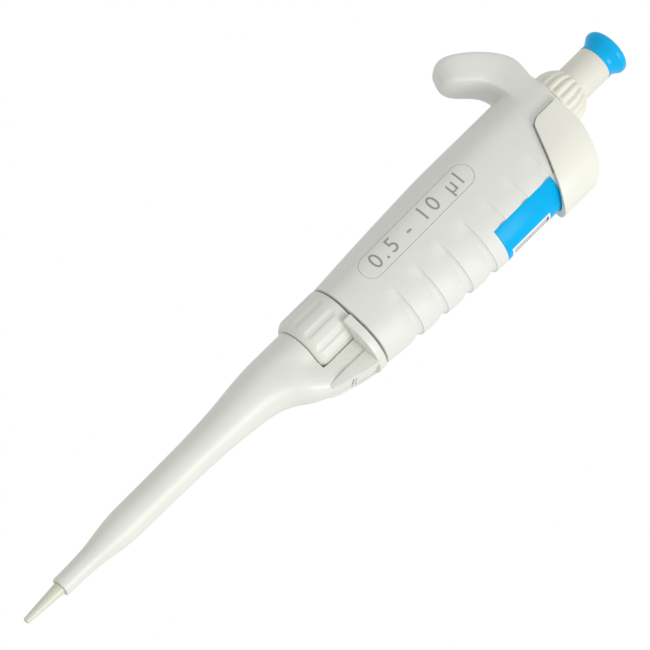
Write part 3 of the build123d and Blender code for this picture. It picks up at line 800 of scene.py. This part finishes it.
column = plate("ejector_column", COLUMN_SIDE, COLUMN_HALF)
cut_rings(column, (*LEG_HEIGHTS[1:], 123.7))
points = points_of(column)
points[:, 1] *= np.interp(points[:, 2], LEG_HEIGHTS, LEG_WIDTHS)
place_points(column, points)
cut(column, block("web_slot", 10, 30, 3.35, 100, 117.5))
soften(column, 1.0, segments=5, angle=40)
cut(column, block("pocket", 15, 30, 3.0, 118.0, 125.35))
FLANGE_STATIONS = (GRIP_STATIONS[0], (140, *GRIP_STATIONS[0][1:]))  # the grip's foot carried straight on
flange = egg_column("ejector_flange", FLANGE_STATIONS, *FLANGE_Z, inset=-0.4)
cut(flange, block("rear", -40, 4.2, 30, 100, 140), cylinder("ring_room", RING_ROOM, 100, 140, 128))
soften(flange, 0.4, segments=4, angle=40)
hand_over(column, "ejector", "ring_plastic", smooth_white)
hand_over(flange, "ejector", "ring_plastic", smooth_white, "ejector_carrier")

lever = plate("latch_lever", LEVER_SIDE, LEVER_HALF)
soften(lever, 0.2, segments=3, angle=30)
pin_bore = cylinder("pin_bore", 0.65, -6, 6, 32)
pin_bore.data.transform(Matrix.Translation((PIVOT[0], 0, PIVOT[1])) @ Matrix.Rotation(math.pi / 2, 4, "X"))
cut(lever, pin_bore)
hand_over(lever, "sleeve_lock", "ring_plastic", smooth_white, "lock_lever")

# ------------------------------------------------------------------ ejector sleeve
# A slim tube slides over the tip cone to push the tip off. Its head swells forward into a nose
# that runs up beside the coupling ring and clips into the carrier. It is one thin moulding.
SLEEVE_SIDE = ((2.95, 13.9), (3.1, 14.5), (3.1, 18), (3.5, 26.6), (4.5, 33.5), (5.08, 39), (5.2, 45),
               (5.25, 52), (5.4, 61), (5.6, 70), (6.2, 81), (7.35, 92), (7.7, 97))
SLEEVE_BORE = ((2.25, 10), (2.25, 22), (4.0, 39), (4.4, 70), (6.5, 96), (6.6, 130))
CARRIER_FOOT, HEAD_TOP, HEAD_R, NOSE_HALF = 117.1, 125.58, 7.8, 4.8
NOSE_REACH = ((90, 0), (93, 0.05), (97.5, 0.75), (101, 2.3), (105.9, 5.6), (110, 7.5), (112.3, 8.4),
              (114.5, 8.9), (CARRIER_FOOT, 9.3), (126, 9.6))
NOSE_SQUARE = ((93, 1.0), (112, 0.55), (118, 0.3))  # from round to square with the height
FILLET = 16  # the higher, the tighter the fillet between the nose and the tube
HEAD_ROWS = [99 + 1.5 * i for i in range(19)]
sleeve = turned("sleeve", [*eased(SLEEVE_SIDE, 3), *((HEAD_R, row) for row in HEAD_ROWS)], 192)
points = points_of(sleeve)
reach = np.hypot(points[:, 0], points[:, 1])
along, across = np.abs(points[:, :2].T) / reach
grown = reach + np.interp(points[:, 2], *zip(*NOSE_REACH))
power = 2 / np.interp(points[:, 2], *zip(*NOSE_SQUARE))
half = reach - (reach - NOSE_HALF) * smoothstep(104, 116, points[:, 2])
nose = ((along / grown) ** power + (across / half) ** power) ** (-1 / power)
filled = (nose ** FILLET + reach ** FILLET) ** (1 / FILLET)
blend = smoothstep(100, 108, points[:, 2]) * smoothstep(0, 4, points[:, 0])
head = np.maximum(nose, reach) * (1 - blend) + filled * blend
points[:, :2] *= np.where(points[:, 0] > 0, head / reach, 1)[:, None]
place_points(sleeve, points)
cut(sleeve, turned("bore", SLEEVE_BORE, 96), cylinder("ring_room", 10.35, 112.9, 140, 160),
    block("carrier_room", 13.62, 40, 20, CARRIER_FOOT, 140), block("above", -40, 40, 20, HEAD_TOP, 140))
hand_over(sleeve, "ejector", "ring_plastic", smooth_white, "ejector_sleeve", angle=30)

# ------------------------------------------------------------------ coupling ring
# The ring holds the lower part to the frame. It is smooth off-white polymer, moulded with a
# tapered foot and twelve shallow flutes for the fingers.
RING_R, RING_FOOT, RING_TOP = 10.1, 113.2, 128.7
FLUTES, FLUTE_MIDDLE, FLUTE_LONG, FLUTE_HALF, FLUTE_DEEP = 12, 120.3, 12.0, 1.5, 0.38
RING_SIDE = ((8.3, RING_FOOT), (8.9, 113.5), (9.7, 114.6), (RING_R, 115.6))
ring = turned("ring", [*eased(RING_SIDE), *((RING_R, 116 + 0.5 * i) for i in range(25)), (RING_R, 128.3),
                       (9.8, RING_TOP)], 360)
points = points_of(ring)
turn = np.degrees(np.arctan2(points[:, 1], points[:, 0]))
beside = np.radians((turn + 180 / FLUTES) % (360 / FLUTES) - 180 / FLUTES) * RING_R
over = np.maximum(np.abs(points[:, 2] - FLUTE_MIDDLE) - (FLUTE_LONG / 2 - FLUTE_HALF), 0)
inside = 1 - np.hypot(beside, over) / FLUTE_HALF
points[:, :2] *= (1 - FLUTE_DEEP * smoothstep(0, 0.75, inside) / RING_R)[:, None]
place_points(ring, points)
cut(ring, cylinder("throat", 6.3, 110, 120, 96), cylinder("neck_room", NECK_R, 115, 135, 96))
hand_over(ring, "root", "ring_plastic", smooth_white, "coupling_ring", angle=30)

# ------------------------------------------------------------------ tip cone
# The nose that takes the disposable tips. It is moulded in a pale natural polymer that lets a
# little light through, and its bore carries the piston and the seal.
CONE_SIDE = ((0.8, 0.0), (0.95, 0.08), (1.02, 0.3), (1.3, 4.0), (1.68, 9.0), (2.02, 13.5), (2.05, 14.2),
             (2.05, 26), (3.6, 38), (3.8, 70), (5.3, 92), (5.6, 113), (5.6, 115), (7.3, 115.01), (7.3, 117.5))
cone = turned("cone", CONE_SIDE, 96)
cut(cone, cylinder("channel", 0.4, -1, 13, 32), cylinder("air_bore", 0.9, 12, 85, 32),
    cylinder("seal_seat", 2.2, 84, 89, 48), cylinder("spring_room", 3.8, 88, 119, 64))
cone_natural = polymer("cone_natural", (0.68, 0.685, 0.575), 0.32, grain=2400, depth=0.15, painted_edge_light_and_gloss=0.03,
                       Subsurface_Weight=0.15, Subsurface_Scale=0.001)
hand_over(cone, "root", "cone_plastic", cone_natural, "tip_cone")
